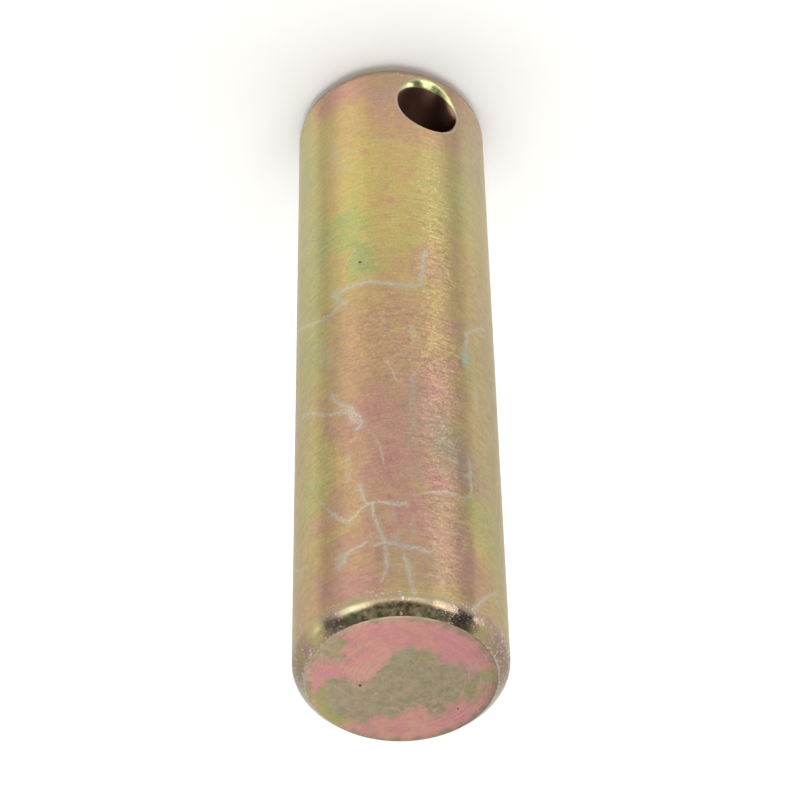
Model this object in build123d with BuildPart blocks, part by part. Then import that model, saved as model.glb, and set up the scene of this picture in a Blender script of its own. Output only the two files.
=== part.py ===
from build123d import *

import os
from math import radians, tan

# A headless pivot pin: one turned steel bar with a cross-hole near one end.
# It stands on the end with the cross-hole, with its axis along +Z.
# The origin is the centre of that end's face, and the cross-hole runs along X.
# All sizes are in millimetres.

# The bar
pin_diameter = 25.0
pin_length = 97.0

# Both ends: a turned chamfer, blended into the bar, with its edge at the face broken
chamfer_width = 1.5
chamfer_angle = 45.0  # from the pin's axis
shoulder_radius = 2.5  # where the chamfer runs out into the bar
face_edge_radius = 0.25

# The cross-hole, for a bolt or a split pin, with a deburring countersink at each mouth
hole_diameter = 8.5
hole_from_end = 7.8  # from the face that the pin stands on to the hole's axis
countersink_width = 0.85  # the cone's radial width, measured at the bar's crown
countersink_angle = 90.0  # the full angle of the cone

pin_radius = pin_diameter / 2
face_radius = pin_radius - chamfer_width
chamfer_length = chamfer_width / tan(radians(chamfer_angle))
hole_radius = hole_diameter / 2

with BuildPart() as pivot_pin:
    # Half of the pin's lengthwise section, turned about its axis
    with BuildSketch(Plane.XZ) as section:
        with BuildLine():
            Polyline(
                (0, 0),
                (face_radius, 0),
                (pin_radius, chamfer_length),
                (pin_radius, pin_length - chamfer_length),
                (face_radius, pin_length),
                (0, pin_length),
                close=True,
            )
        make_face()
        fillet(section.vertices().group_by(Axis.X)[-2], radius=face_edge_radius)
        fillet(section.vertices().group_by(Axis.X)[-1], radius=shoulder_radius)
    revolve(axis=Axis.Z)

    # The cross-hole is drilled right through, then countersunk from both sides
    crown = Plane(origin=(pin_radius, 0, hole_from_end), x_dir=(0, 1, 0), z_dir=(1, 0, 0))
    far_crown = Plane(origin=(-pin_radius, 0, hole_from_end), x_dir=(0, 1, 0), z_dir=(-1, 0, 0))
    with Locations(crown, far_crown):
        CounterSinkHole(
            radius=hole_radius,
            counter_sink_radius=hole_radius + countersink_width,
            depth=pin_diameter,
            counter_sink_angle=countersink_angle,
        )

pivot_pin.part.label = "pivot_pin"

os.makedirs("parts", exist_ok=True)
export_step(pivot_pin.part, "parts/pivot_pin.step")
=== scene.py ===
import math
from types import SimpleNamespace

import bpy
import numpy as np
from mathutils import Matrix, Vector


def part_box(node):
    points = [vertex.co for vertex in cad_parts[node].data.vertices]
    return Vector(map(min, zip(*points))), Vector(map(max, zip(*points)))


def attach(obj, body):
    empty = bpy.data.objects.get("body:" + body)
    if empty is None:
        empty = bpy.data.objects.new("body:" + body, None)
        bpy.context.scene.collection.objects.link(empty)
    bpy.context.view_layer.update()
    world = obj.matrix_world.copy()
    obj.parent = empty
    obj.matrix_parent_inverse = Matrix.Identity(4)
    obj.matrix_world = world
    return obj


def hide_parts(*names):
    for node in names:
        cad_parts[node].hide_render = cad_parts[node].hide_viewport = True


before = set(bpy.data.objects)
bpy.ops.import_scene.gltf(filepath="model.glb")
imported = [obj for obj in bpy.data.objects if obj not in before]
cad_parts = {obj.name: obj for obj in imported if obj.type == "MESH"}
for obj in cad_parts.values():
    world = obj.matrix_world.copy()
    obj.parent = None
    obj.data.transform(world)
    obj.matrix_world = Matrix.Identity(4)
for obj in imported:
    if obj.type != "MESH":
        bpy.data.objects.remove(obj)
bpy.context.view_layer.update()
print("stage: frame loaded")

mm = 0.001
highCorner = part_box("pivot_pin")[1]
pinRadius = highCorner.x / mm  # 12.5
pinLength = highCorner.z / mm  # 97


def hexToLinear(code):
    parts = [int(code[i:i + 2], 16) / 255 for i in (1, 3, 5)]
    return [c / 12.92 if c <= 0.04045 else ((c + 0.055) / 1.055) ** 2.4 for c in parts] + [1.0]


def addNode(tree, kind, inputs, **settings):
    # inputs: socket name or number -> a number, a colour, a node (its first live output) or an output
    node = tree.nodes.new("ShaderNode" + kind)
    for name, value in settings.items():
        setattr(node, name, value)
    for key, value in inputs.items():
        if isinstance(value, bpy.types.Node):
            value = next(out for out in value.outputs if out.enabled)
        if isinstance(value, bpy.types.NodeSocket):
            tree.links.new(value, node.inputs[key])
        else:
            node.inputs[key].default_value = value
    return node


def fillRamp(node, stops):
    # stops: (place 0-1, colour), written over the ramp's own two
    ramp = node.color_ramp
    ramp.elements[0].position, ramp.elements[1].position = stops[0][0], stops[-1][0]
    ramp.elements[0].color, ramp.elements[1].color = stops[0][1], stops[-1][1]
    for place, colour in stops[1:-1]:
        ramp.elements.new(place).color = colour


# camera: where the photograph was taken from, upside down to the pin's own frame
cameraView = {
    "place": (0.234232, 0.106797, 0.311538),
    "right": (0.403242, -0.914979, 0.014470),
    "up": (0.654241, 0.277204, -0.703652),
    "lens": 132.107,
    "sensor": 36.0,
}


def addCamera(p):
    right, up = Vector(p["right"]).normalized(), Vector(p["up"])
    back = right.cross(up).normalized()
    up = back.cross(right)
    data = bpy.data.cameras.new("camera")
    data.lens, data.sensor_width = p["lens"], p["sensor"]
    data.clip_start, data.clip_end = 0.01, 50.0
    camera = bpy.data.objects.new("camera", data)
    turn = Matrix((right, up, back)).transposed()
    camera.matrix_world = Matrix.Translation(p["place"]) @ turn.to_4x4()
    bpy.context.scene.collection.objects.link(camera)
    bpy.context.scene.camera = camera


addCamera(cameraView)
cameraAzimuth = math.degrees(math.atan2(cameraView["place"][1], cameraView["place"][0]))
print("stage: camera")

# the pin's skin: a turned profile round Z, with the cross-hole cut through it; sizes in mm
pinShape = {
    "chamfer": 1.5,  # radial width at 45 degrees
    "shoulder": 2.5,  # radius between chamfer and bar
    "faceEdge": 0.25,  # radius between chamfer and face
    "holeRadius": 4.25,
    "holeHeight": 7.8,
    "countersink": 0.85,  # the 90 degree cone's radial width
    "rimBreak": 0.13,  # half width of the burr-free rounding at the hole's rims
    "columns": 240,
    "windowColumns": 19,  # to each side of the hole
    "windowTop": 14.0,  # from the shoulder up to here the rows are laid for the hole
    "windowRows": 38,
    "barRows": 175,
    "faceRings": 11,
    "arcPoints": (6, 8, 13),  # along the face's edge, the chamfer's cone and the shoulder
    "mouthRings": 10,  # from a window's border to the hole's rim
    "mouthSpacing": 0.8,  # below 1: closer towards the rim
    "coneShares": (0.0, 0.35, 0.7, 1.0),  # rings down the countersink
    "boreRings": 24,
}


def turnedProfile(p):
    # Radius and height along half the section, from the lower centre to the upper one: flat face, edge arc,
    # cone, shoulder arc, bar, and the same mirrored, without the two centres. Then the window's end rows.
    # An arc of radius q about (a, b) is (a + q cos t, b + q sin t).
    tangent = math.tan(math.radians(22.5))
    root = math.sin(math.radians(45))
    flat = pinRadius - p["chamfer"] - p["faceEdge"] * tangent
    barStart = p["chamfer"] + p["shoulder"] * tangent
    edgePoints, conePoints, shoulderPoints = p["arcPoints"]
    face = np.linspace(0, flat, p["faceRings"] + 1)[:-1]
    face = np.stack([face, np.zeros(len(face))], 1)
    t = np.radians(np.linspace(-90, -45, edgePoints))
    edge = np.stack([flat + p["faceEdge"] * np.cos(t), p["faceEdge"] * (1 + np.sin(t))], 1)
    coneEnd = np.array([pinRadius - p["shoulder"] * (1 - root), barStart - p["shoulder"] * root])
    steps = np.linspace(0, 1, conePoints)[1:, None]
    cone = edge[-1] * (1 - steps) + coneEnd * steps
    t = np.radians(np.linspace(-45, 0, shoulderPoints))[1:]
    shoulder = np.stack([pinRadius + p["shoulder"] * (np.cos(t) - 1),
                         barStart + p["shoulder"] * np.sin(t)], 1)
    end = np.concatenate([face, edge, cone, shoulder])
    windowRows = np.linspace(barStart, p["windowTop"], p["windowRows"] + 1)[1:]
    barRows = np.linspace(p["windowTop"], pinLength - barStart, p["barRows"] + 2)[1:-1]
    bar = np.concatenate([windowRows, barRows])
    bar = np.stack([np.full(len(bar), pinRadius), bar], 1)
    top = end[::-1] * [1, -1] + [0, pinLength]
    lowRow = len(end) - 2
    return np.concatenate([end, bar, top])[1:-1], lowRow, lowRow + len(windowRows)


def holeRim(p, turn):
    # Distance from the hole's axis at which the cone of half angle 45 degrees, r = x - k, meets the bar,
    # x^2 + (r cos turn)^2 = R^2
    k = pinRadius - p["holeRadius"] - p["countersink"]
    a = 1 + np.cos(turn) ** 2
    return (-2 * k + np.sqrt(4 * k * k - 4 * a * (k * k - pinRadius ** 2))) / (2 * a), k


def windowBorder(p, lowRow, highRow):
    # columns and rows once round a window: along its lower side, up, back along the upper one and down
    half = p["windowColumns"]
    across, up = np.arange(-half, half), np.arange(lowRow, highRow)
    columns = np.concatenate([across, np.full(len(up), half), -across, np.full(len(up), -half)])
    rows = np.concatenate([np.full(len(across), lowRow), up, np.full(len(across), highRow), up[::-1] + 1])
    return columns, rows


def mouthRings(p, arc, height):
    # the mouth at +X: rings that pass from the window's border to the rim, down the cone and into the bore
    turn = np.arctan2(height - p["holeHeight"], arc)
    rim, coneStart = holeRim(p, turn)
    soft = np.minimum(p["rimBreak"], 0.3 * (rim - p["holeRadius"]))
    rimArc = pinRadius * np.arcsin((rim + soft) * np.cos(turn) / pinRadius)
    rimHeight = p["holeHeight"] + (rim + soft) * np.sin(turn)
    rings = []
    for share in np.linspace(0, 1, p["mouthRings"] + 1)[1:] ** p["mouthSpacing"]:
        a = (arc * (1 - share) + rimArc * share) / pinRadius
        h = height * (1 - share) + rimHeight * share
        rings.append(np.stack([pinRadius * np.cos(a), pinRadius * np.sin(a), h], 1))
    crest = np.sqrt(pinRadius ** 2 - (rim * np.cos(turn)) ** 2) - 0.35 * soft
    steps = [(crest, rim)]  # depth along X and distance from the hole's axis
    for share in p["coneShares"]:
        r = (rim - soft) * (1 - share) + (p["holeRadius"] + 0.3 * soft) * share
        steps.append((r + coneStart, r))
    steps.append((p["holeRadius"] + coneStart - 0.4 * soft, p["holeRadius"]))
    for x, r in steps:
        rings.append(np.stack([x, r * np.cos(turn), p["holeHeight"] + r * np.sin(turn)], 1))
    return rings


def stripQuads(loops):
    # between each loop of corners and the next
    return [np.stack([outer, np.roll(outer, -1), np.roll(inner, -1), inner], 1)
            for outer, inner in zip(loops[:-1], loops[1:])]


def pinSkin(p):
    rings, lowRow, highRow = turnedProfile(p)
    n, half = p["columns"], p["windowColumns"]
    theta = 2 * np.pi * np.arange(n) / n
    places = np.stack([rings[:, :1] * np.cos(theta), rings[:, :1] * np.sin(theta),
                       np.repeat(rings[:, 1:], n, axis=1)], 2).reshape(-1, 3)
    k, j = np.meshgrid(np.arange(len(rings) - 1), np.arange(n), indexing="ij")
    away = np.minimum((j + half) % n, (j + half + n // 2) % n)  # columns from a window's left side
    keep = ~((k >= lowRow) & (k < highRow) & (away < 2 * half))
    k, j = k[keep], j[keep]
    right = (j + 1) % n
    quads = [np.stack([k * n + j, k * n + right, (k + 1) * n + right, (k + 1) * n + j], 1)]

    borderColumn, borderRow = windowBorder(p, lowRow, highRow)
    count = len(borderRow)
    made = mouthRings(p, borderColumn * 2 * np.pi / n * pinRadius, rings[borderRow, 1])
    mouths = []
    for side, turned in ((0, 1), (1, -1)):
        loops = [borderRow * n + (borderColumn + side * n // 2) % n]
        for ring in made:
            loops.append(len(places) + np.arange(count))
            places = np.concatenate([places, ring * [turned, turned, 1]])
        quads += stripQuads(loops)
        mouths.append(loops[-1])

    # the bore's wall, from mouth to mouth; the far mouth's points run the other way round
    partner = mouths[1][(2 * half - np.arange(count)) % count]
    start, end = places[mouths[0]], places[partner]
    loops = [mouths[0]]
    for share in np.linspace(0, 1, p["boreRings"] + 2)[1:-1]:
        loops.append(len(places) + np.arange(count))
        places = np.concatenate([places, start * (1 - share) + end * share])
    quads += stripQuads(loops + [partner])
    quads = np.concatenate(quads)

    # the poles at the middle of each face
    pole = len(places)
    places = np.concatenate([places, [[0, 0, 0], [0, 0, pinLength]]])
    j = np.arange(n)
    right = (j + 1) % n
    top = (len(rings) - 1) * n
    triangles = np.concatenate([np.stack([np.full(n, pole), right, j], 1),
                                np.stack([top + j, top + right, np.full(n, pole + 1)], 1)])
    used = np.unique(np.concatenate([quads.ravel(), triangles.ravel()]))
    renumber = np.zeros(len(places), int)
    renumber[used] = np.arange(len(used))
    return places[used], renumber[quads], renumber[triangles]


def meshFromArrays(name, places, quads, triangles):
    mesh = bpy.data.meshes.new(name)
    mesh.vertices.add(len(places))
    mesh.vertices.foreach_set("co", (places * mm).ravel().astype(np.float32))
    corners = np.concatenate([quads.ravel(), triangles.ravel()])
    starts = np.concatenate([np.arange(len(quads)) * 4, len(quads) * 4 + np.arange(len(triangles)) * 3])
    mesh.loops.add(len(corners))
    mesh.loops.foreach_set("vertex_index", corners.astype(np.int32))
    mesh.polygons.add(len(starts))
    mesh.polygons.foreach_set("loop_start", starts.astype(np.int32))
    mesh.polygons.foreach_set("use_smooth", np.ones(len(starts), bool))
    mesh.update(calc_edges=True)
    mesh.validate()
    piece = bpy.data.objects.new(name, mesh)
    bpy.context.scene.collection.objects.link(piece)
    return piece


pin = meshFromArrays("turnedPin", *pinSkin(pinShape))
print("stage: pin skin,", len(pin.data.polygons), "faces")

# Yellow-passivated zinc plate on turned steel: the chromate film's thickness sets its colour, from lime
# through straw, orange and rose to taupe. Satin along the bar, brighter on the chamfers, with chalky lines
# where it crazed; a thin clear sealer greys it a little where it is seen at a low angle.
# The film is drawn on a flat sheet in mm: the bar unrolled as arc and height, and the two faces beside it.
zincPlate = {
    "zones": {  # mm, where each zone starts and is full
        "chamfer": (-2.7, -2.1),  # from the faces' height
        "nicked": (-3.2, -2.4),
        "face": (-0.06, -0.02),
        "cut": (-0.02, -0.06),  # from the bar's radius: what lies inside it
        "nearHole": (1.2, 1.05),  # from the hole's radius
        "nearBore": (0.08, 0.02),
        "rimHighlightLine": (0.34, 0.12),  # from the hole's rim
        "edge": (0.5, 0.15),  # from the faces' edges
    },
    "noises": {  # bumps per mm, detail, roughness
        "broad": (0.06, 2.0, 0.5),
        "wander": (0.25, 5.0, 0.62),  # moves the borders of large patches
        "cloud": (0.28, 3.0, 0.6),
        "mottle": (0.9, 3.0, 0.65),
        "shake": (1.3, 4.0, 0.75),  # moves the borders of small ones
        "grain": (3.2, 2.0, 0.6),
    },
    "drift": 9.0,  # mm, the span over which wander moves a border
    "jitter": 1.1,  # mm, the same of shake
    "barMarks": (0.45, 0.45, 2.8),  # tool marks per mm, across the bar and along it
    "faceMarks": (1.8, 2.6),  # on the faces: along a turn, and per mm outwards
    "film": [  # film thickness 0-1 and the colour it gives
        (0.0, "#a6bd7a"), (0.14, "#b4b971"), (0.28, "#c8bc6b"), (0.42, "#d1b76e"), (0.56, "#cfa873"),
        (0.7, "#cc9d7d"), (0.84, "#cd9486"), (0.93, "#cc8783"), (1.0, "#ca7f88"),
    ],
    "baseFilm": 0.45,
    "broadDrift": (0.20, 2.2),  # film change of the broad noise, in front and on the hidden side
    "filmNoises": {"cloud": 0.32, "mottle": 0.42, "grain": 0.15, "marks": 0.18},  # of the finer ones
    "hiddenSide": 204.5,  # degrees, the middle of the side that the photograph doesn't show
    "strengthAlongPin": (1.02, 0.845),  # the colour's strength near the lower end and from the middle up
    "speckle": 0.50,  # change in brightness of the grain
    "streak": 0.40,  # the same of the tool marks
    "glintDashes": (1.3, 3.6, 0),  # painted glint dashes per mm, round the bar and along it
    "paintedGlint": 0.30,  # painted glints: the brightness they add to the colour in the coarse bands
    "barPatches": [  # degrees round, height, half width and half height in mm, film change
        (40, 3, 9, 5, 0.27), (70, 3, 5, 4, 0.07), (24, 9, 3.6, 5.5, 0.28), (0, 15, 6, 2.4, 0.15),
        (-18, 8, 3.8, 7, 0.2), (-38, 5, 4, 5, 0.13), (92, 8, 5, 8, -0.09), (-32, 20, 4.2, 13, -0.17),
        (-6, 27, 4.4, 10, -0.12), (65, 24, 2.6, 5, 0.08), (57, 37, 1.8, 2.2, 0.13), (43, 39, 2.2, 4, -0.3),
        (49, 32, 3, 6, -0.25), (47, 21, 3, 5, -0.1), (22, 35, 2, 3, -0.11), (3, 39, 2.6, 4.5, 0.15),
        (88, 30, 5, 26, -0.23), (76, 52, 3, 8, -0.17), (76, 73, 4, 9, -0.17), (82, 90, 3, 8, 0.09),
        (40, 53, 8, 10, 0.15), (10, 52, 5, 8, 0.07), (-10, 50, 2.4, 2, 0.18), (-7, 57, 2.4, 3, 0.08),
        (35, 69, 7, 9, 0.33), (16, 78, 5.6, 7, 0.26), (45, 66, 3, 3, 0.06), (8, 62, 4, 6, 0.16),
        (-3, 62, 3, 5, 0.19), (-8, 70, 4, 4, 0.17), (-4, 76, 3, 3, 0.24), (-20, 73, 2.6, 5, 0.18),
        (-32, 80, 4.4, 5, -0.18), (-38, 88, 4, 6, -0.11), (58, 71, 2, 4, -0.13), (65, 79, 4, 3, 0.25),
        (56, 90, 5, 6, 0.2), (46, 93, 4, 3, 0.2), (27, 85, 6, 5, 0.26), (18, 91, 3.4, 4, 0.14),
        (-3, 88, 3.2, 7, 0.19), (-20, 89, 4, 5, 0.25), (14.5, 78.5, 0.9, 1.4, -0.3),
        (-21, 54.5, 0.9, 2.2, -0.3), (70, 33, 2.5, 5, -0.09), (91, 45, 2.5, 2.5, 0.12),
        (21, 5, 3, 3, -0.15), (65, 60, 2.5, 3, 0.07),
    ],
    "violetSpots": [  # the same for small stains, placed without the drift
        (13.6, 22.4, 0.7, 0.5, 0.15), (24.6, 28.1, 0.6, 0.8, 0.14), (30.6, 31.1, 0.9, 0.6, 0.16),
        (19, 33, 0.6, 0.6, 0.12), (41, 18, 0.6, 0.9, 0.18), (28, 25.3, 0.5, 0.5, 0.12),
        (20.6, 20.2, 0.8, 0.8, 0.1),
    ],
    "greyedAndEdgeSheen": [  # the same, but the share of grey-brown stain; the long strips at 98 and -44 degrees also grey the bar's sides as painted glancing reflection
        (-3, 69.5, 2.6, 3.8, 0.45), (-20, 73, 2.6, 5, 0.26), (18, 91, 3.4, 4, 0.24),
        (15.8, 68, 0.7, 11, 0.34), (98, 50, 5, 60, 0.2), (-44, 45, 4, 60, 0.28), (8, 64, 3, 3, 0.1),
        (4, 90, 1.6, 5, 0.12), (-12, 45, 6, 60, 0.12), (20, 5, 4, 4, 0.3), (-35, 11, 5, 10, 0.3),
        (-2, 73, 2.4, 3, 0.15), (34, 27, 7, 12, -0.12), (90, 12, 4, 12, 0.15), (-3, 81, 3, 5, 0.12),
    ],
    "haze": 0.24,  # its share everywhere
    "stain": "#aa9d84",
    "barEdge": (1.45, 0.3),  # a patch fades between these shares of its half sizes
    "spotEdge": (1.3, 0.5),
    "facePatches": [  # x and y on the upper face and half sizes in mm, share of stain over the rose
        (-1.2, -2.2, 4.9, 4.4, 1), (2.6, -5.6, 3.0, 3.2, 1), (-7.2, 3.6, 3.0, 3.2, 1),
        (-5.6, 6.0, 3.3, 2.6, 1), (-3.4, 1.6, 3.6, 2.3, 1), (1.4, 0.6, 3.2, 2.0, 1),
        (3.9, -1.0, 2.2, 3.2, 0.9), (2.6, 9.4, 2.6, 2.0, 1), (-7.4, -4.4, 3.6, 2.4, -1),
        (-9.8, 0.5, 1.0, 3.4, 0.3), (7.2, -9.0, 3.0, 1.4, 0.4), (2.6, -9.0, 3.2, 1.2, 0.7),
        (3.4, -1.6, 1.0, 1.3, -0.6), (2.4, -5.2, 0.9, 0.8, -0.5), (6.6, -6.4, 1.2, 1.0, 0.25),
    ],
    "faceTints": [  # the same, film change: orange or deeper rose
        (-4.5, -4.5, 2.4, 2.2, -0.08), (2.5, 4.5, 5.5, 2.6, -0.09), (-7.5, -5, 1.6, 2, -0.03),
        (-2.4, 7.6, 2.4, 2.4, 0.05), (-3, -8.6, 3, 1.6, 0.03), (8, -4, 2.4, 4, 0.05),
    ],
    "faceFilm": 0.96,
    "faceStain": ("#a8987d", "#918769"),  # two tones, mixed by the swirls of the facing cut
    "faceEdge": (1.34, 0.66),
    "faceRim": (10.1, 10.7, 0.8),  # mm from the axis where the edge's stain starts and is full, its share
    "faceRagged": 2.4,  # mm, the span of its ragged border
    "chamferFilm": 0.62,
    "chamferPatches": [(24, 96, 9, 6, -0.30)],
    "chamferSpread": 1.6,  # film change of the cloud noise there
    "chamferStain": (0.62, 0.34),  # share of its tone where it is bright and where dull
    "chamferTone": "#988779",
    "chamferDull": [(98, 97, 5.8, 9, 1), (-51, 97, 5.6, 9, 1)],  # where the chamfer is as rough as the bar
    "dullEdge": (1.5, 0.45),
    "steel": "#e6e2d8",
    "nicks": (0.66, 0.73, 0.6),  # grain noise at which a nick to bare steel starts and is full, its share
    "edgeNicks": (0.26, 0.07),  # added to it along the faces' edges and elsewhere, less towards the front
    "mouthColour": "#c9cd92",
    "rimHighlight": ("#c9bcae", 0.6),  # painted highlight: a pale line on the bar along the hole's rim, its share
    "cracks": [  # strength, then degrees round and height in mm along each line
        (1.0, [(103, 41.3), (96, 42.8), (88, 43.9), (80, 45.2), (72, 46.0), (65, 46.4), (60, 45.9),
               (55, 45.4)]),
        (1.4, [(61.5, 42.6), (60, 43.6), (57, 44.6), (54, 45.5)]),
        (1.1, [(60, 43.1), (50, 43.0), (43, 42.8), (37, 43.0), (31, 43.6), (25, 43.9), (20, 44.2),
               (12, 44.2), (9, 43.6)]),
        (0.8, [(9, 43.8), (8.2, 41.0), (7, 38.5), (5.5, 37.2)]), (0.8, [(8, 37.2), (2, 37.2)]),
        (0.9, [(90, 59.6), (85, 59.9), (80, 60.8), (74, 62.0), (68, 63.2), (62, 63.9), (56, 64.2),
               (52, 64.5)]),
        (1.0, [(63, 60.7), (60, 62.0), (55, 63.3), (50, 64.4), (46.5, 65.8), (43.5, 67.3)]),
        (1.1, [(52, 64.5), (50, 65.5), (48, 67.0), (46, 68.0), (43.5, 67.3)]),
        (0.7, [(72, 62.5), (72, 64.2)]),
        (0.8, [(-20, 49.2), (-25, 48.2), (-30, 46.8), (-35, 45.8), (-40, 45.0)]),
        (0.9, [(-20.5, 49.4), (-20, 51.8)]),
        (1.0, [(70, 77.0), (66, 79.0), (62, 80.2), (57, 81.6), (52, 82.6), (49, 82.2), (45, 81.3),
               (40, 80.6), (34, 80.6), (30, 81.0), (26, 81.3), (20, 81.0)]),
        (0.8, [(45, 77.3), (43.5, 79.0), (43, 80.0), (41, 80.5)]),
        (0.85, [(38.5, 80.9), (37.5, 82.5), (35, 84.5), (33, 86.2), (31.5, 87.2)]),
        (1.0, [(37, 87.2), (32, 87.0), (27, 87.4), (22, 87.8), (15, 87.9), (9, 88.3)]),
        (0.8, [(53, 87.5), (48, 87.0), (42, 86.6)]),
        (0.65, [(31.5, 87.5), (31, 89.0), (31, 91.0), (32, 91.8), (34, 92.6)]),
        (0.65, [(22, 89.0), (20, 91.0), (19, 93.0), (17, 94.8)]),
        (0.8, [(-16, 94.8), (-22, 93.0), (-28, 91.3), (-36, 89.5)]),
        (0.7, [(98, 83.0), (92, 84.2), (87, 84.8)]), (0.35, [(29, 57.5), (26, 59.4), (24.5, 61.0)]),
        (0.3, [(37, 69.5), (33.5, 72.0), (31.5, 74.5)]), (0.5, [(-18, 71.0), (-19, 75.0), (-18, 77.2)]),
        (0.5, [(-18, 77.2), (-10, 78.2), (-3, 78.2), (8, 79.0), (16, 79.8)]),
    ],
    "crackGap": (0.0, 0.28),  # mm from a line's middle to its two pale edges, where the noise is low and high
    "crackEdge": 0.13,  # mm, width of an edge
    "crackHalo": (0.8, 0.3),  # mm to each side, strength of the bloom along a line
    "crazing": (0.075, 0.16),  # cells per mm and half width in mm of the net of lines on the hidden side
    "chalk": ("#b4b2ae", "#cdc2a4"),  # grey and cream, mixed by the cloud noise
    "smears": [  # degrees, height, half sizes, strength of the blue-grey bloom
        (-18.4, 53.6, 0.8, 2.2, 0.75), (14.4, 52.8, 0.45, 2.0, 0.6), (56.5, 88.2, 0.9, 1.6, 0.6),
        (31, 50.5, 0.4, 2.2, 0.2), (21, 56, 0.9, 0.7, 0.2), (-17, 74, 0.4, 0.5, 0.7),
        (60, 43.4, 0.7, 0.6, 0.4), (61, 16.5, 0.9, 2.8, 0.3), (17, 85, 0.5, 2, 0.2),
        (64, 54, 0.7, 3, 0.25), (70, 52, 0.8, 3, 0.3), (28, 83, 0.7, 1.2, 0.3), (26, 86.5, 0.8, 0.8, 0.3),
        (52, 74, 0.6, 3, 0.3), (15.5, 63, 0.5, 7, 0.2), (56, 19.5, 1.2, 0.6, 0.3), (39, 86, 0.5, 1.2, 0.3),
        (-26, 60, 0.5, 4, 0.25), (30, 90.5, 1.4, 0.6, 0.2),
    ],
    "smearEdge": (1.2, 0.4),
    "bloom": "#b4bbae",
    "hiddenBloom": 0.42,  # its most on the side that the photograph doesn't show
    "faceSmears": [(-5.4, 5.0, 2.8, 1.9, 0.07), (4.6, 1.2, 0.8, 0.8, 0.25), (6.4, -6.0, 0.8, 0.8, 0.25)],
    "faceBloom": "#a09694",
    "faceLime": [  # yellow-green, mostly along the rim
        (-9.6, 4.2, 1.2, 1.9, 0.75), (-8.2, 6.3, 1.4, 1.4, 0.8), (-6.4, 7.9, 1.8, 1.1, 0.6),
        (2.8, 8.8, 2.0, 1.2, 0.3), (1.2, -8.0, 2.6, 0.8, 0.3), (5.0, -8.8, 2.4, 0.8, 0.35),
        (5.2, 0.8, 0.8, 2.4, 0.2), (-3.6, 7.8, 1.2, 0.8, 0.3),
    ],
    "limeEdge": (1.3, 0.4),
    "lime": "#93944f",
    "specks": [(44.0, 39.0, 0.24)],  # degrees, height, radius in mm of dark pits
    "faceSpecks": [(-2.6, 4.0, 0.24), (-2.1, -8.0, 0.16)],
    "pit": "#2b2a1e",
    "boreColour": ("#6d5041", "#b98d76"),  # painted shade deep inside, and painted light on the wall near the mouth
    "paintedLightSpot": (11.5, -4.2, 7.0),  # mm, the middle of the painted light
    "roughness": 0.40,
    "chamferRoughness": 0.17,
    "nickRoughness": 0.30,
    "mouthRoughness": 0.2,
    "boreRoughness": 0.42,
    "roughnessMottle": 0.35,  # change of the mottle noise
    "sealer": (0.3, 0.3),  # weight and roughness of the clear film over the chromate
    "grazingTint": "#e8e4e0",  # of what is seen at a low angle
    "turningMarks": 0.02,  # mm, height of the circumferential tool marks
    "peel": 0.018,  # mm, height of the plate's fine grain
    "coarse": [(-1, 56, 2.7, 42, 1.4), (28, 53, 5, 8, 0.6), (42, 72, 7, 12, 0.2)],  # more grain and marks: real in the bump, and in the colour partly painted sparkle
    "chamferCoarse": 0.2,
    "faceCoarse": 0.55,
}


mmPerDegree = math.radians(pinRadius)  # along the bar's surface
faceOffset = 200.0  # mm, where the upper face lies on the flat sheet; the lower one lies as far the other way


def onBar(patches):
    return [(degrees * mmPerDegree, *rest) for degrees, *rest in patches]


def onFace(patches):
    return [(across + faceOffset, *rest) for across, *rest in patches]


def patchSum(tree, sheet, total, patches, edge):
    # adds each patch's share: its distance in half sizes, faded from 1 to 0 between the two edges
    for across, height, halfWidth, halfHeight, change in patches:
        away = addNode(tree, "VectorMath", {0: sheet, 1: (1 / halfWidth, 1 / halfHeight, 0),
                                            2: (-across / halfWidth, -height / halfHeight, 0)},
                       operation="MULTIPLY_ADD")
        away = addNode(tree, "VectorMath", {0: away}, operation="LENGTH")
        part = addNode(tree, "MapRange", {"Value": away, "From Min": edge[0], "From Max": edge[1],
                                          "To Max": change}, interpolation_type="SMOOTHSTEP")
        total = addNode(tree, "Math", {0: total, 1: part})
    return total


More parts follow.
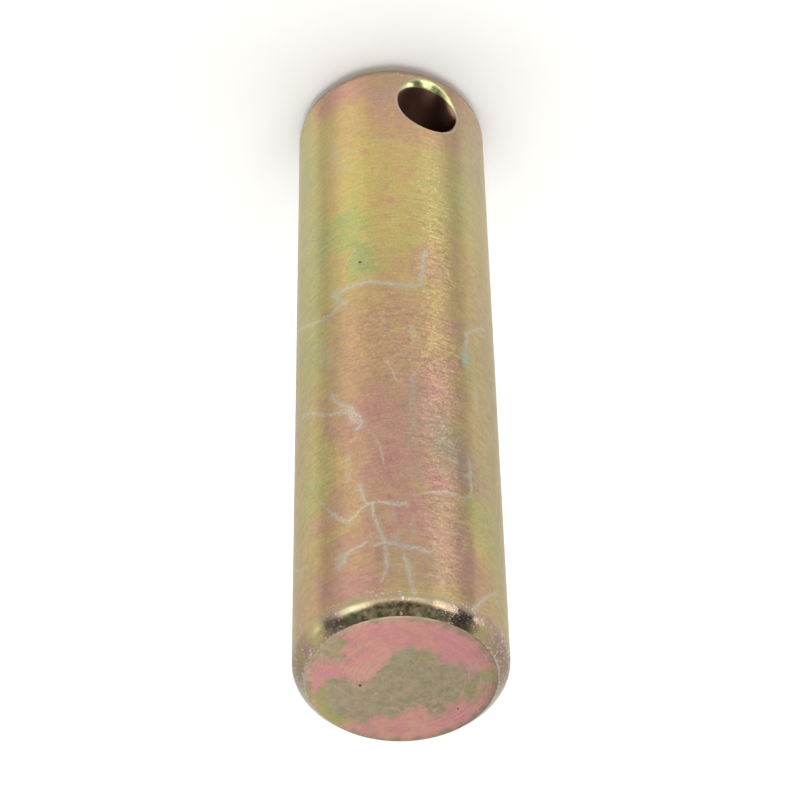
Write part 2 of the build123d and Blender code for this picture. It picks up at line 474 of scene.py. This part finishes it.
def findPlaces(tree, p):
    # where a point of the skin lies, in mm, and how far, 0-1, it belongs to each zone of the pin
    at = SimpleNamespace()
    place = addNode(tree, "TexCoord", {}).outputs["Object"]
    at.place = addNode(tree, "VectorMath", {0: place, "Scale": 1 / mm}, operation="SCALE")
    at.x, at.y, at.z = addNode(tree, "SeparateXYZ", {0: at.place}).outputs
    at.level = addNode(tree, "VectorMath", {0: at.place, 1: (1, 1, 0)}, operation="MULTIPLY")
    at.radius = addNode(tree, "VectorMath", {0: at.level}, operation="LENGTH")
    around = addNode(tree, "Math", {0: at.y, 1: at.x}, operation="ARCTAN2")
    arc = addNode(tree, "Math", {0: around, 1: pinRadius}, operation="MULTIPLY")
    fromMiddle = addNode(tree, "Math", {0: at.z, 1: pinLength / 2}, operation="SUBTRACT")
    upper = addNode(tree, "Math", {0: fromMiddle}, operation="SIGN")
    at.fromMiddle = addNode(tree, "Math", {0: fromMiddle}, operation="ABSOLUTE")
    aboveHole = addNode(tree, "Math", {0: at.z, 1: pinShape["holeHeight"]}, operation="SUBTRACT")
    fromHole = addNode(tree, "CombineXYZ", {"Y": at.y, "Z": aboveHole})
    at.fromHole = addNode(tree, "VectorMath", {0: fromHole}, operation="LENGTH")
    hidden = math.radians(p["hiddenSide"])
    at.toHidden = addNode(tree, "VectorMath", {0: at.place, 1: (math.cos(hidden), math.sin(hidden), 0)},
                          operation="DOT_PRODUCT")
    zoneFrom = {
        "chamfer": (at.fromMiddle, pinLength / 2),
        "nicked": (at.fromMiddle, pinLength / 2),
        "face": (at.fromMiddle, pinLength / 2),
        "cut": (at.radius, pinRadius),
        "nearHole": (at.fromHole, pinShape["holeRadius"]),
        "nearBore": (at.fromHole, pinShape["holeRadius"]),
    }
    for name, (value, origin) in zoneFrom.items():
        start, full = p["zones"][name]
        setattr(at, name, addNode(tree, "MapRange", {"Value": value, "From Min": origin + start,
                                                     "From Max": origin + full}))
    at.mouth = addNode(tree, "Math", {0: at.cut, 1: at.nearHole}, operation="MULTIPLY")
    at.bore = addNode(tree, "Math", {0: at.nearBore, 1: at.mouth}, operation="MULTIPLY")
    barSheet = addNode(tree, "CombineXYZ", {"X": arc, "Y": at.z})
    acrossFace = addNode(tree, "Math", {0: upper, 1: faceOffset, 2: at.x}, operation="MULTIPLY_ADD")
    faceSheet = addNode(tree, "CombineXYZ", {"X": acrossFace, "Y": at.y})
    at.sheet = addNode(tree, "Mix", {0: at.face, 4: barSheet, 5: faceSheet}, data_type="VECTOR")
    return at


def addNoises(tree, p, at):
    # the noises that the finish shares, and the flat sheet shaken by two of them
    for name, (scale, detail, roughness) in p["noises"].items():
        noise = addNode(tree, "TexNoise", {"Vector": at.place, "Scale": scale, "Detail": detail,
                                           "Roughness": roughness})
        setattr(at, name, noise)
    middle = (0.5, 0.5, 0.5)
    at.wandering = addNode(tree, "VectorMath", {0: at.wander.outputs["Color"], 1: middle},
                           operation="SUBTRACT")
    at.drifted = addNode(tree, "VectorMath", {0: at.wandering, 1: (p["drift"], p["drift"], 0), 2: at.sheet},
                         operation="MULTIPLY_ADD")
    shaking = addNode(tree, "VectorMath", {0: at.shake.outputs["Color"], 1: middle}, operation="SUBTRACT")
    at.jittered = addNode(tree, "VectorMath", {0: shaking, 1: (p["jitter"], p["jitter"], 0), 2: at.sheet},
                          operation="MULTIPLY_ADD")

    # tool marks: a noise long round the pin and short along it, on the faces long round and short outwards
    barMarks = addNode(tree, "VectorMath", {0: at.place, 1: p["barMarks"]}, operation="MULTIPLY")
    outward = addNode(tree, "VectorMath", {0: at.level}, operation="NORMALIZE")
    turns, rings = p["faceMarks"]
    faceMarks = addNode(tree, "Math", {0: at.radius, 1: rings}, operation="MULTIPLY")
    faceMarks = addNode(tree, "CombineXYZ", {"Z": faceMarks})
    faceMarks = addNode(tree, "VectorMath", {0: outward, 1: (turns, turns, 0), 2: faceMarks},
                        operation="MULTIPLY_ADD")
    marks = addNode(tree, "Mix", {0: at.face, 4: barMarks, 5: faceMarks}, data_type="VECTOR")
    at.marks = addNode(tree, "TexNoise", {"Vector": marks, "Scale": 1.0, "Detail": 3.0, "Roughness": 0.6})

    # bands with more grain and marks: real in the bump, and in the colour partly painted sparkle
    coarse = patchSum(tree, at.drifted, 1.0, onBar(p["coarse"]), p["barEdge"])
    coarse = addNode(tree, "Mix", {0: at.chamfer, 2: coarse, 3: p["chamferCoarse"]})
    at.coarse = addNode(tree, "Mix", {0: at.face, 2: coarse, 3: p["faceCoarse"]})
    at.dulled = patchSum(tree, at.drifted, 0.0, onBar(p["chamferDull"]), p["dullEdge"])


def filmColour(tree, p, at):
    # the film's thickness: a slow drift, the patches and the finer noises; the ramp gives it its colour
    spread = addNode(tree, "MapRange", {"Value": at.toHidden, "From Min": 0.0, "From Max": 9.0,
                                        "To Min": p["broadDrift"][0], "To Max": p["broadDrift"][1]})
    centred = addNode(tree, "Math", {0: at.broad, 1: 0.5}, operation="SUBTRACT")
    barFilm = addNode(tree, "Math", {0: centred, 1: spread, 2: p["baseFilm"]}, operation="MULTIPLY_ADD")
    barFilm = patchSum(tree, at.drifted, barFilm, onBar(p["barPatches"]), p["barEdge"])
    barFilm = patchSum(tree, at.jittered, barFilm, onBar(p["violetSpots"]), p["spotEdge"])
    lowest = p["chamferFilm"] - 0.5 * p["chamferSpread"]
    chamferFilm = addNode(tree, "Math", {0: at.cloud, 1: p["chamferSpread"], 2: lowest},
                          operation="MULTIPLY_ADD")
    chamferFilm = patchSum(tree, at.drifted, chamferFilm, onBar(p["chamferPatches"]), p["barEdge"])
    film = addNode(tree, "Mix", {0: at.chamfer, 2: barFilm, 3: chamferFilm})
    faceFilm = patchSum(tree, at.drifted, p["faceFilm"], onFace(p["faceTints"]), p["barEdge"])
    film = addNode(tree, "Mix", {0: at.face, 2: film, 3: faceFilm})
    for name, change in p["filmNoises"].items():
        shifted = addNode(tree, "Math", {0: getattr(at, name), 1: 0.5}, operation="SUBTRACT")
        film = addNode(tree, "Math", {0: shifted, 1: change, 2: film}, operation="MULTIPLY_ADD")
    colour = addNode(tree, "ValToRGB", {"Fac": film})
    fillRamp(colour, [(t, hexToLinear(code)) for t, code in p["film"]])
    return colour


def addStains(tree, p, at, colour):
    # grey-brown stain over the bar, along its sides partly painted glancing reflection, then the chamfers'
    # own tone, then the olive stain over the faces' rose
    greyedAndEdgeSheen = patchSum(tree, at.drifted, p["haze"], onBar(p["greyedAndEdgeSheen"]), p["barEdge"])
    colour = addNode(tree, "Mix", {0: greyedAndEdgeSheen, 6: colour, 7: hexToLinear(p["stain"])}, data_type="RGBA")
    bright, dull = p["chamferStain"]
    toned = addNode(tree, "MapRange", {"Value": at.dulled, "To Min": bright, "To Max": dull})
    toned = addNode(tree, "Math", {0: at.chamfer, 1: toned}, operation="MULTIPLY")
    toned = addNode(tree, "Mix", {0: at.face, 2: toned, 3: 0.0})
    colour = addNode(tree, "Mix", {0: toned, 6: colour, 7: hexToLinear(p["chamferTone"])}, data_type="RGBA")

    stained = patchSum(tree, at.drifted, 0.0, onFace(p["facePatches"]), p["faceEdge"])
    start, full, most = p["faceRim"]
    ragged = addNode(tree, "Math", {0: at.mottle, 1: p["faceRagged"], 2: at.radius}, operation="MULTIPLY_ADD")
    rim = addNode(tree, "MapRange", {"Value": ragged, "From Min": start + p["faceRagged"] / 2,
                                     "From Max": full + p["faceRagged"] / 2, "To Max": most})
    stained = addNode(tree, "Math", {0: stained, 1: rim}, operation="MAXIMUM")
    broken = addNode(tree, "MapRange", {"Value": at.mottle, "From Min": 0.3, "From Max": 0.6,
                                        "To Min": 0.55, "To Max": 1.1})
    stained = addNode(tree, "Math", {0: stained, 1: broken}, operation="MULTIPLY")
    stained = addNode(tree, "Math", {0: stained, 1: at.face}, operation="MULTIPLY", use_clamp=True)
    swirl = addNode(tree, "Math", {0: at.mottle, 1: 1.6, 2: at.marks}, operation="MULTIPLY_ADD")
    swirl = addNode(tree, "MapRange", {"Value": swirl, "From Min": 0.96, "From Max": 1.58})
    light, dark = [hexToLinear(code) for code in p["faceStain"]]
    tone = addNode(tree, "Mix", {0: swirl, 6: light, 7: dark}, data_type="RGBA")
    return addNode(tree, "Mix", {0: stained, 6: colour, 7: tone}, data_type="RGBA")


def addNicks(tree, p, at, colour):
    # nicks to bare steel on the chamfers; along the faces' edges they join up to a broken pale line
    cloudShare = 0.6
    nicks = addNode(tree, "Math", {0: at.cloud, 1: cloudShare, 2: at.grain}, operation="MULTIPLY_ADD")
    corner = (pinRadius - pinShape["chamfer"], pinLength / 2, 0)
    fromEdge = addNode(tree, "CombineXYZ", {"X": at.radius, "Y": at.fromMiddle})
    fromEdge = addNode(tree, "VectorMath", {0: fromEdge, 1: corner}, operation="DISTANCE")
    start, full = p["zones"]["edge"]
    onEdge, elsewhere = p["edgeNicks"]
    more = addNode(tree, "MapRange", {"Value": fromEdge, "From Min": start, "From Max": full,
                                      "To Min": elsewhere, "To Max": onEdge})
    sides = addNode(tree, "MapRange", {"Value": at.toHidden, "From Min": -10.5, "From Max": -3.0,
                                       "To Min": 0.12})
    nicks = addNode(tree, "Math", {0: more, 1: sides, 2: nicks}, operation="MULTIPLY_ADD")
    start, full, most = p["nicks"]
    nicks = addNode(tree, "MapRange", {"Value": nicks, "From Min": start + cloudShare / 2,
                                       "From Max": full + cloudShare / 2, "To Max": most})
    nicks = addNode(tree, "Math", {0: nicks, 1: at.nicked}, operation="MULTIPLY")
    at.nicks = addNode(tree, "Mix", {0: at.face, 2: nicks, 3: 0.0})
    return addNode(tree, "Mix", {0: at.nicks, 6: colour, 7: hexToLinear(p["steel"])}, data_type="RGBA")


def addShades(tree, p, at, colour):
    # the colour's strength: higher near the lower end and lower from the middle up, grain and tool marks with
    # painted sparkle in the coarse bands, and painted glints
    # the colour's strength: higher near the lower end, lower from the middle up
    low, high = p["strengthAlongPin"]
    strength = addNode(tree, "MapRange", {"Value": at.z, "From Min": 10.0, "From Max": 50.0,
                                          "To Min": low, "To Max": high})
    # grain and tool marks in the colour's strength, raised in the coarse bands as painted sparkle
    for noise, change in ((at.grain, p["speckle"]), (at.marks, p["streak"])):
        shifted = addNode(tree, "Math", {0: noise, 1: 0.5}, operation="SUBTRACT")
        shifted = addNode(tree, "Math", {0: shifted, 1: at.coarse}, operation="MULTIPLY")
        strength = addNode(tree, "Math", {0: shifted, 1: change, 2: strength}, operation="MULTIPLY_ADD")
    # painted glints: bright dashes added to the colour in the coarse bands
    glintDashes = addNode(tree, "VectorMath", {0: at.jittered, 1: p["glintDashes"]}, operation="MULTIPLY")
    glintDashes = addNode(tree, "TexNoise", {"Vector": glintDashes, "Scale": 1.0, "Detail": 2.0})
    paintedGlints = addNode(tree, "MapRange", {"Value": glintDashes, "From Min": 0.5, "From Max": 0.68})
    inSparkleBands = addNode(tree, "Math", {0: at.coarse, 1: 1.0}, operation="SUBTRACT")
    paintedGlints = addNode(tree, "Math", {0: paintedGlints, 1: inSparkleBands}, operation="MULTIPLY", use_clamp=True)
    strength = addNode(tree, "Math", {0: paintedGlints, 1: p["paintedGlint"], 2: strength}, operation="MULTIPLY_ADD")
    return addNode(tree, "VectorMath", {0: colour, "Scale": strength}, operation="SCALE")


def addMouth(tree, p, at, colour):
    # a painted highlight as a pale line along the hole's rim, where the cone r = |x| - k meets the bar, and
    # the bright countersink
    coneStart = pinRadius - pinShape["holeRadius"] - pinShape["countersink"]
    outwards = addNode(tree, "Math", {0: at.x}, operation="ABSOLUTE")
    fromRim = addNode(tree, "Math", {0: outwards, 1: -1.0, 2: at.fromHole}, operation="MULTIPLY_ADD")
    start, full = p["zones"]["rimHighlightLine"]
    tint, most = p["rimHighlight"]
    rimHighlightLine = addNode(tree, "MapRange", {"Value": fromRim, "From Min": start - coneStart,
                                         "From Max": full - coneStart, "To Max": most})
    colour = addNode(tree, "Mix", {0: rimHighlightLine, 6: colour, 7: hexToLinear(tint)}, data_type="RGBA")
    return addNode(tree, "Mix", {0: at.mouth, 6: colour, 7: hexToLinear(p["mouthColour"])}, data_type="RGBA")


def lineDistance(tree, p, at):
    # from the nearest crazed line: each is a curve of one coordinate over the other, on the jittered sheet
    jitteredParts = addNode(tree, "SeparateXYZ", {0: at.jittered})
    nearest = None
    for share, line in p["cracks"]:
        run = np.array(line) * [mmPerDegree, 1]
        along = int(np.ptp(run[:, 1]) > np.ptp(run[:, 0]))  # 0: mostly round the pin, 1: mostly along it
        aside = 1 - along
        run = run[np.argsort(run[:, along])]
        low, high = run.min(0), run.max(0)
        passed = addNode(tree, "MapRange", {"Value": jitteredParts.outputs[along],
                                            "From Min": low[along], "From Max": high[along]})
        course = addNode(tree, "FloatCurve", {"Value": passed})
        steps = (run - low) / (high - low)
        points = course.mapping.curves[0].points
        points[0].location, points[1].location = (0, steps[0, aside]), (1, steps[-1, aside])
        for step in steps[1:-1]:
            points.new(step[along], step[aside])
        for point in points:
            point.handle_type = "VECTOR"
        course.mapping.update()
        ends = [None, None]
        for axis, part in ((along, passed), (aside, course)):
            ends[axis] = addNode(tree, "Math", {0: part, 1: high[axis] - low[axis], 2: low[axis]},
                                 operation="MULTIPLY_ADD")
        onLine = addNode(tree, "CombineXYZ", {0: ends[0], 1: ends[1]})
        away = addNode(tree, "VectorMath", {0: at.jittered, 1: onLine}, operation="DISTANCE")
        away = addNode(tree, "Math", {0: away, 1: share}, operation="DIVIDE")
        if nearest is not None:
            away = addNode(tree, "Math", {0: nearest, 1: away}, operation="MINIMUM")
        nearest = away
    return nearest


def addCracks(tree, p, at, colour):
    # chalky lines where the film crazed: two pale edges, a bloom to each side, and on the hidden side a net
    nearest = lineDistance(tree, p, at)
    gap = addNode(tree, "MapRange", {"Value": at.mottle, "From Min": 0.44, "From Max": 0.64,
                                     "To Min": p["crackGap"][0], "To Max": p["crackGap"][1]})
    crack = addNode(tree, "Math", {0: nearest, 1: gap}, operation="SUBTRACT")
    crack = addNode(tree, "Math", {0: crack}, operation="ABSOLUTE")
    crack = addNode(tree, "MapRange", {"Value": crack, "From Min": p["crackEdge"],
                                       "From Max": p["crackEdge"] * 0.3})
    density, halfWidth = p["crazing"]
    cells = addNode(tree, "VectorMath", {0: at.wandering, 1: (3, 3, 3), 2: at.place},
                    operation="MULTIPLY_ADD")
    cells = addNode(tree, "TexVoronoi", {"Vector": cells, "Scale": density}, feature="DISTANCE_TO_EDGE")
    net = addNode(tree, "MapRange", {"Value": cells, "From Min": density * halfWidth, "From Max": 0.0})
    netPlace = addNode(tree, "MapRange", {"Value": at.toHidden, "From Min": -1.0, "From Max": 3.0})
    netPlace = addNode(tree, "Mix", {0: at.face, 2: netPlace, 3: 0.0})
    net = addNode(tree, "Math", {0: net, 1: netPlace}, operation="MULTIPLY")
    netGaps = addNode(tree, "MapRange", {"Value": at.broad, "From Min": 0.45, "From Max": 0.55})
    net = addNode(tree, "Math", {0: net, 1: netGaps}, operation="MULTIPLY")
    crack = addNode(tree, "Math", {0: crack, 1: net}, operation="MAXIMUM")
    patchy = addNode(tree, "MapRange", {"Value": at.grain, "From Min": 0.4, "From Max": 0.58,
                                        "To Min": 0.45, "To Max": 0.95})
    crack = addNode(tree, "Math", {0: crack, 1: patchy}, operation="MULTIPLY")
    reach, most = p["crackHalo"]
    halo = addNode(tree, "MapRange", {"Value": nearest, "From Min": reach, "From Max": 0.1, "To Max": most})
    colour = addNode(tree, "Mix", {0: halo, 6: colour, 7: hexToLinear(p["bloom"])}, data_type="RGBA")
    tone = addNode(tree, "MapRange", {"Value": at.cloud, "From Min": 0.4, "From Max": 0.6})
    grey, cream = [hexToLinear(code) for code in p["chalk"]]
    tone = addNode(tree, "Mix", {0: tone, 6: grey, 7: cream}, data_type="RGBA")
    return addNode(tree, "Mix", {0: crack, 6: colour, 7: tone}, data_type="RGBA")


def addBloom(tree, p, at, colour):
    # blue-grey bloom in smears and all over the hidden side, its onset also greying the visible sides as
    # painted glancing reflection, then the faces' bloom and their yellow-green
    broken = addNode(tree, "MapRange", {"Value": at.mottle, "From Min": 0.4, "From Max": 0.6,
                                        "To Min": 0.25, "To Max": 1.2})
    bloom = patchSum(tree, at.jittered, 0.0, onBar(p["smears"]), p["smearEdge"])
    # bloom on the hidden side; where it starts it greys the bar's visible sides as painted glancing
    # reflection
    hiddenBloomAndEdgeSheen = addNode(tree, "MapRange", {"Value": at.toHidden, "From Min": -6.5, "From Max": 4.0,
                                      "To Max": p["hiddenBloom"]}, interpolation_type="SMOOTHSTEP")
    hiddenBloomAndEdgeSheen = addNode(tree, "Mix", {0: at.face, 2: hiddenBloomAndEdgeSheen, 3: 0.0})
    faded = addNode(tree, "MapRange", {"Value": at.cloud, "From Min": 0.7, "From Max": 0.35,
                                       "To Min": 0.5, "To Max": 1.0})
    bloom = addNode(tree, "Math", {0: hiddenBloomAndEdgeSheen, 1: faded, 2: bloom}, operation="MULTIPLY_ADD")
    bloom = addNode(tree, "Math", {0: bloom, 1: broken}, operation="MULTIPLY", use_clamp=True)
    colour = addNode(tree, "Mix", {0: bloom, 6: colour, 7: hexToLinear(p["bloom"])}, data_type="RGBA")
    bloom = patchSum(tree, at.drifted, 0.0, onFace(p["faceSmears"]), p["smearEdge"])
    colour = addNode(tree, "Mix", {0: bloom, 6: colour, 7: hexToLinear(p["faceBloom"])}, data_type="RGBA")
    lime = patchSum(tree, at.drifted, 0.0, onFace(p["faceLime"]), p["limeEdge"])
    broken = addNode(tree, "MapRange", {"Value": at.mottle, "From Min": 0.35, "From Max": 0.6, "To Min": 0.5})
    lime = addNode(tree, "Math", {0: lime, 1: broken}, operation="MULTIPLY")
    return addNode(tree, "Mix", {0: lime, 6: colour, 7: hexToLinear(p["lime"])}, data_type="RGBA")


def addPits(tree, p, at, colour):
    for across, height, size in onBar(p["specks"]) + onFace(p["faceSpecks"]):
        away = addNode(tree, "VectorMath", {0: at.sheet, 1: (across, height, 0)}, operation="DISTANCE")
        pit = addNode(tree, "MapRange", {"Value": away, "From Min": size, "From Max": size * 0.5})
        colour = addNode(tree, "Mix", {0: pit, 6: colour, 7: hexToLinear(p["pit"])}, data_type="RGBA")
    return colour


def addBore(tree, p, at, colour):
    # darkened inside as painted shade of the deep hole, with painted light on the stretch of wall near the
    # mouth
    paintedLight = addNode(tree, "VectorMath", {0: at.place, 1: p["paintedLightSpot"]}, operation="DISTANCE")
    paintedLight = addNode(tree, "MapRange", {"Value": paintedLight, "From Min": 4.0, "From Max": 0.5},
                  interpolation_type="SMOOTHSTEP")
    paintedShade, light = [hexToLinear(code) for code in p["boreColour"]]
    tone = addNode(tree, "Mix", {0: paintedLight, 6: paintedShade, 7: light}, data_type="RGBA")
    return addNode(tree, "Mix", {0: at.bore, 6: colour, 7: tone}, data_type="RGBA")


def findRoughness(tree, p, at):
    polished = addNode(tree, "Math", {0: 1.0, 1: at.dulled}, operation="SUBTRACT")
    polished = addNode(tree, "Math", {0: polished, 1: at.chamfer}, operation="MULTIPLY", use_clamp=True)
    roughness = p["roughness"]
    for share, value in ((polished, p["chamferRoughness"]), (at.face, p["roughness"]),
                         (at.nicks, p["nickRoughness"]), (at.mouth, p["mouthRoughness"]),
                         (at.bore, p["boreRoughness"])):
        roughness = addNode(tree, "Mix", {0: share, 2: roughness, 3: value})
    shifted = addNode(tree, "Math", {0: at.mottle, 1: 0.5}, operation="SUBTRACT")
    return addNode(tree, "Math", {0: shifted, 1: p["roughnessMottle"], 2: roughness},
                   operation="MULTIPLY_ADD")


def findBump(tree, p, at):
    height = addNode(tree, "Math", {0: at.marks, 1: p["turningMarks"]}, operation="MULTIPLY")
    grainHeight = addNode(tree, "Math", {0: at.coarse, 1: p["peel"]}, operation="MULTIPLY")
    height = addNode(tree, "Math", {0: at.grain, 1: grainHeight, 2: height}, operation="MULTIPLY_ADD")
    height = addNode(tree, "Mix", {0: at.mouth, 2: height, 3: 0.0})
    return addNode(tree, "Bump", {"Height": height, "Distance": mm, "Strength": 1.0})


def zincMaterial(p):
    material = bpy.data.materials.new("yellowPassivatedZinc")
    material.use_nodes = True
    tree = material.node_tree
    tree.nodes.clear()
    at = findPlaces(tree, p)
    addNoises(tree, p, at)
    colour = filmColour(tree, p, at)
    for addLayer in (addStains, addNicks, addShades, addMouth, addCracks, addBloom, addPits, addBore):
        colour = addLayer(tree, p, at, colour)
    tangent = addNode(tree, "Tangent", {}, direction_type="RADIAL", axis="Z")
    tangent = addNode(tree, "Mix", {0: at.face, 4: tangent, 5: (0, 1, 0)}, data_type="VECTOR")
    weight, sealerRoughness = p["sealer"]
    shader = addNode(tree, "BsdfPrincipled", {
        "Base Color": colour, "Metallic": 1.0, "Roughness": findRoughness(tree, p, at),
        "Specular Tint": hexToLinear(p["grazingTint"]),
        "Anisotropic": 1.0, "Anisotropic Rotation": 0.25, "Tangent": tangent,  # a quarter turn: along the pin
        "Coat Weight": weight, "Coat Roughness": sealerRoughness,
        "Normal": findBump(tree, p, at),
    })
    addNode(tree, "OutputMaterial", {"Surface": shader})
    return material


pin.data.materials.append(zincMaterial(zincPlate))
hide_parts("pivot_pin")
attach(pin, "root")
print("stage: pin finish")

# stage: a pale floor in a light tent
tent = {
    "floor": "#f4f4f2",
    "floorRadius": 6.0,  # m
    "lowWall": [  # degrees from the camera's azimuth, brightness of the tent's wall just above the floor
        (-180, 0.7), (-125, 0.7), (-108, 1.05), (-92, 2.45), (-76, 4.2), (-74, 0.05), (-64, 0.05),
        (-56, 0.1), (-46, 0.2), (-34, 1.0), (-22, 2.4), (-10, 2.75), (10, 2.2), (24, 1.9), (33, 2.5),
        (44, 3.4), (54, 3.0), (62, 1.8), (72, 0.2), (80, 0.2), (82, 4.6), (96, 2.8), (108, 1.1),
        (125, 0.7), (180, 0.7),
    ],
    "midWall": [  # the same in a band above it, whose bright stretches show on the shoulder
        (-180, 0.7), (-125, 0.9), (-108, 1.0), (-98, 0.8), (-86, 0.2), (-72, 0.08), (-62, 0.2), (-52, 2.9),
        (-36, 2.8), (-24, 1.4), (-12, 0.5), (10, 0.4), (24, 1.2), (34, 4.0), (46, 5.4), (56, 3.0),
        (66, 0.4), (74, 0.15), (86, 0.2), (98, 0.8), (108, 1.0), (125, 0.9), (180, 0.7),
    ],
    "highWall": [  # the same up to the dome: dark cloth on the camera's side
        (-180, 0.7), (-120, 0.9), (-108, 1.0), (-98, 0.6), (-86, 0.3), (-74, 0.09), (74, 0.09), (86, 0.3),
        (98, 0.6), (108, 1.0), (120, 0.9), (180, 0.7),
    ],
    "bands": ((11, 15), (21, 26), (65, 70)),  # degrees up between which the next band or the dome fades in
    "dome": 4.8,
    "sidePanel": {"azimuth": -43, "distance": 0.27, "height": 0.150, "size": (0.11, 0.17), "power": 0.10},
    "backdrop": "#f4f4f2",
}


def addTent(p):
    world = bpy.data.worlds.new("lightTent")
    bpy.context.scene.world = world
    world.use_nodes = True
    tree = world.node_tree
    tree.nodes.clear()
    direction = addNode(tree, "TexCoord", {}).outputs["Generated"]
    turned = addNode(tree, "VectorRotate", {"Vector": direction, "Angle": -math.radians(cameraAzimuth)},
                     rotation_type="Z_AXIS")
    parts = addNode(tree, "SeparateXYZ", {0: turned})
    azimuth = addNode(tree, "Math", {0: parts.outputs["Y"], 1: parts.outputs["X"]}, operation="ARCTAN2")
    around = addNode(tree, "MapRange", {"Value": azimuth, "From Min": -math.pi, "From Max": math.pi})
    walls = []
    for levels in (p["lowWall"], p["midWall"], p["highWall"]):
        wall = addNode(tree, "ValToRGB", {"Fac": around})
        most = max(level for degrees, level in levels)
        fillRamp(wall, [((degrees + 180) / 360, [level / most] * 3 + [1]) for degrees, level in levels])
        walls.append(addNode(tree, "Math", {0: wall, 1: most}, operation="MULTIPLY"))
    rise = addNode(tree, "Math", {0: parts.outputs["Z"]}, operation="ARCSINE")
    light = walls[0]
    for (start, full), above in zip(p["bands"], walls[1:] + [p["dome"]]):
        share = addNode(tree, "MapRange", {"Value": rise, "From Min": math.radians(start),
                                           "From Max": math.radians(full)})
        light = addNode(tree, "Mix", {0: share, 2: light, 3: above})
    seen = addNode(tree, "Background", {"Color": hexToLinear(p["backdrop"]), "Strength": 1.0})
    glow = addNode(tree, "Background", {"Color": (1, 1, 1, 1), "Strength": light})
    cameraRay = addNode(tree, "LightPath", {}).outputs["Is Camera Ray"]
    choose = addNode(tree, "MixShader", {0: cameraRay, 1: glow, 2: seen})
    addNode(tree, "OutputWorld", {"Surface": choose})


def addFloor(p):
    # a disc, its rings r = R t^3 so that they are close near the pin
    rings, columns = 24, 96
    radius = p["floorRadius"] * np.linspace(0, 1, rings + 1)[1:] ** 3
    theta = 2 * np.pi * np.arange(columns) / columns
    places = np.stack([radius[:, None] * np.cos(theta), radius[:, None] * np.sin(theta),
                       np.zeros((rings, columns))], 2).reshape(-1, 3) / mm
    k, j = [a.ravel() for a in np.meshgrid(np.arange(rings - 1), np.arange(columns), indexing="ij")]
    right = (j + 1) % columns
    quads = np.stack([k * columns + j, (k + 1) * columns + j,
                      (k + 1) * columns + right, k * columns + right], 1)
    places = np.concatenate([places, [[0, 0, 0]]])
    j = np.arange(columns)
    triangles = np.stack([np.full(columns, len(places) - 1), j, (j + 1) % columns], 1)
    floor = meshFromArrays("floor", places, quads, triangles)
    material = bpy.data.materials.new("paleFloor")  # matt and nearly white, it takes the soft shadow
    material.use_nodes = True
    tree = material.node_tree
    tree.nodes.clear()
    shader = addNode(tree, "BsdfPrincipled", {"Base Color": hexToLinear(p["floor"]), "Roughness": 0.9})
    addNode(tree, "OutputMaterial", {"Surface": shader})
    floor.data.materials.append(material)


def addPanel(p):
    # a small soft box beside the camera, upright and facing the pin's axis: it lights the hole's lip
    data = bpy.data.lights.new("sidePanel", "AREA")
    data.shape, data.size, data.size_y, data.energy = "RECTANGLE", *p["size"], p["power"]
    panel = bpy.data.objects.new("sidePanel", data)
    angle = math.radians(cameraAzimuth + p["azimuth"])
    panel.location = (p["distance"] * math.cos(angle), p["distance"] * math.sin(angle), p["height"])
    panel.rotation_euler = (math.pi / 2, 0, angle + math.pi / 2)
    panel.visible_camera = False
    bpy.context.scene.collection.objects.link(panel)


addTent(tent)
addFloor(tent)
addPanel(tent["sidePanel"])
bpy.context.scene.view_settings.view_transform = "Standard"
print("stage: tent and floor")
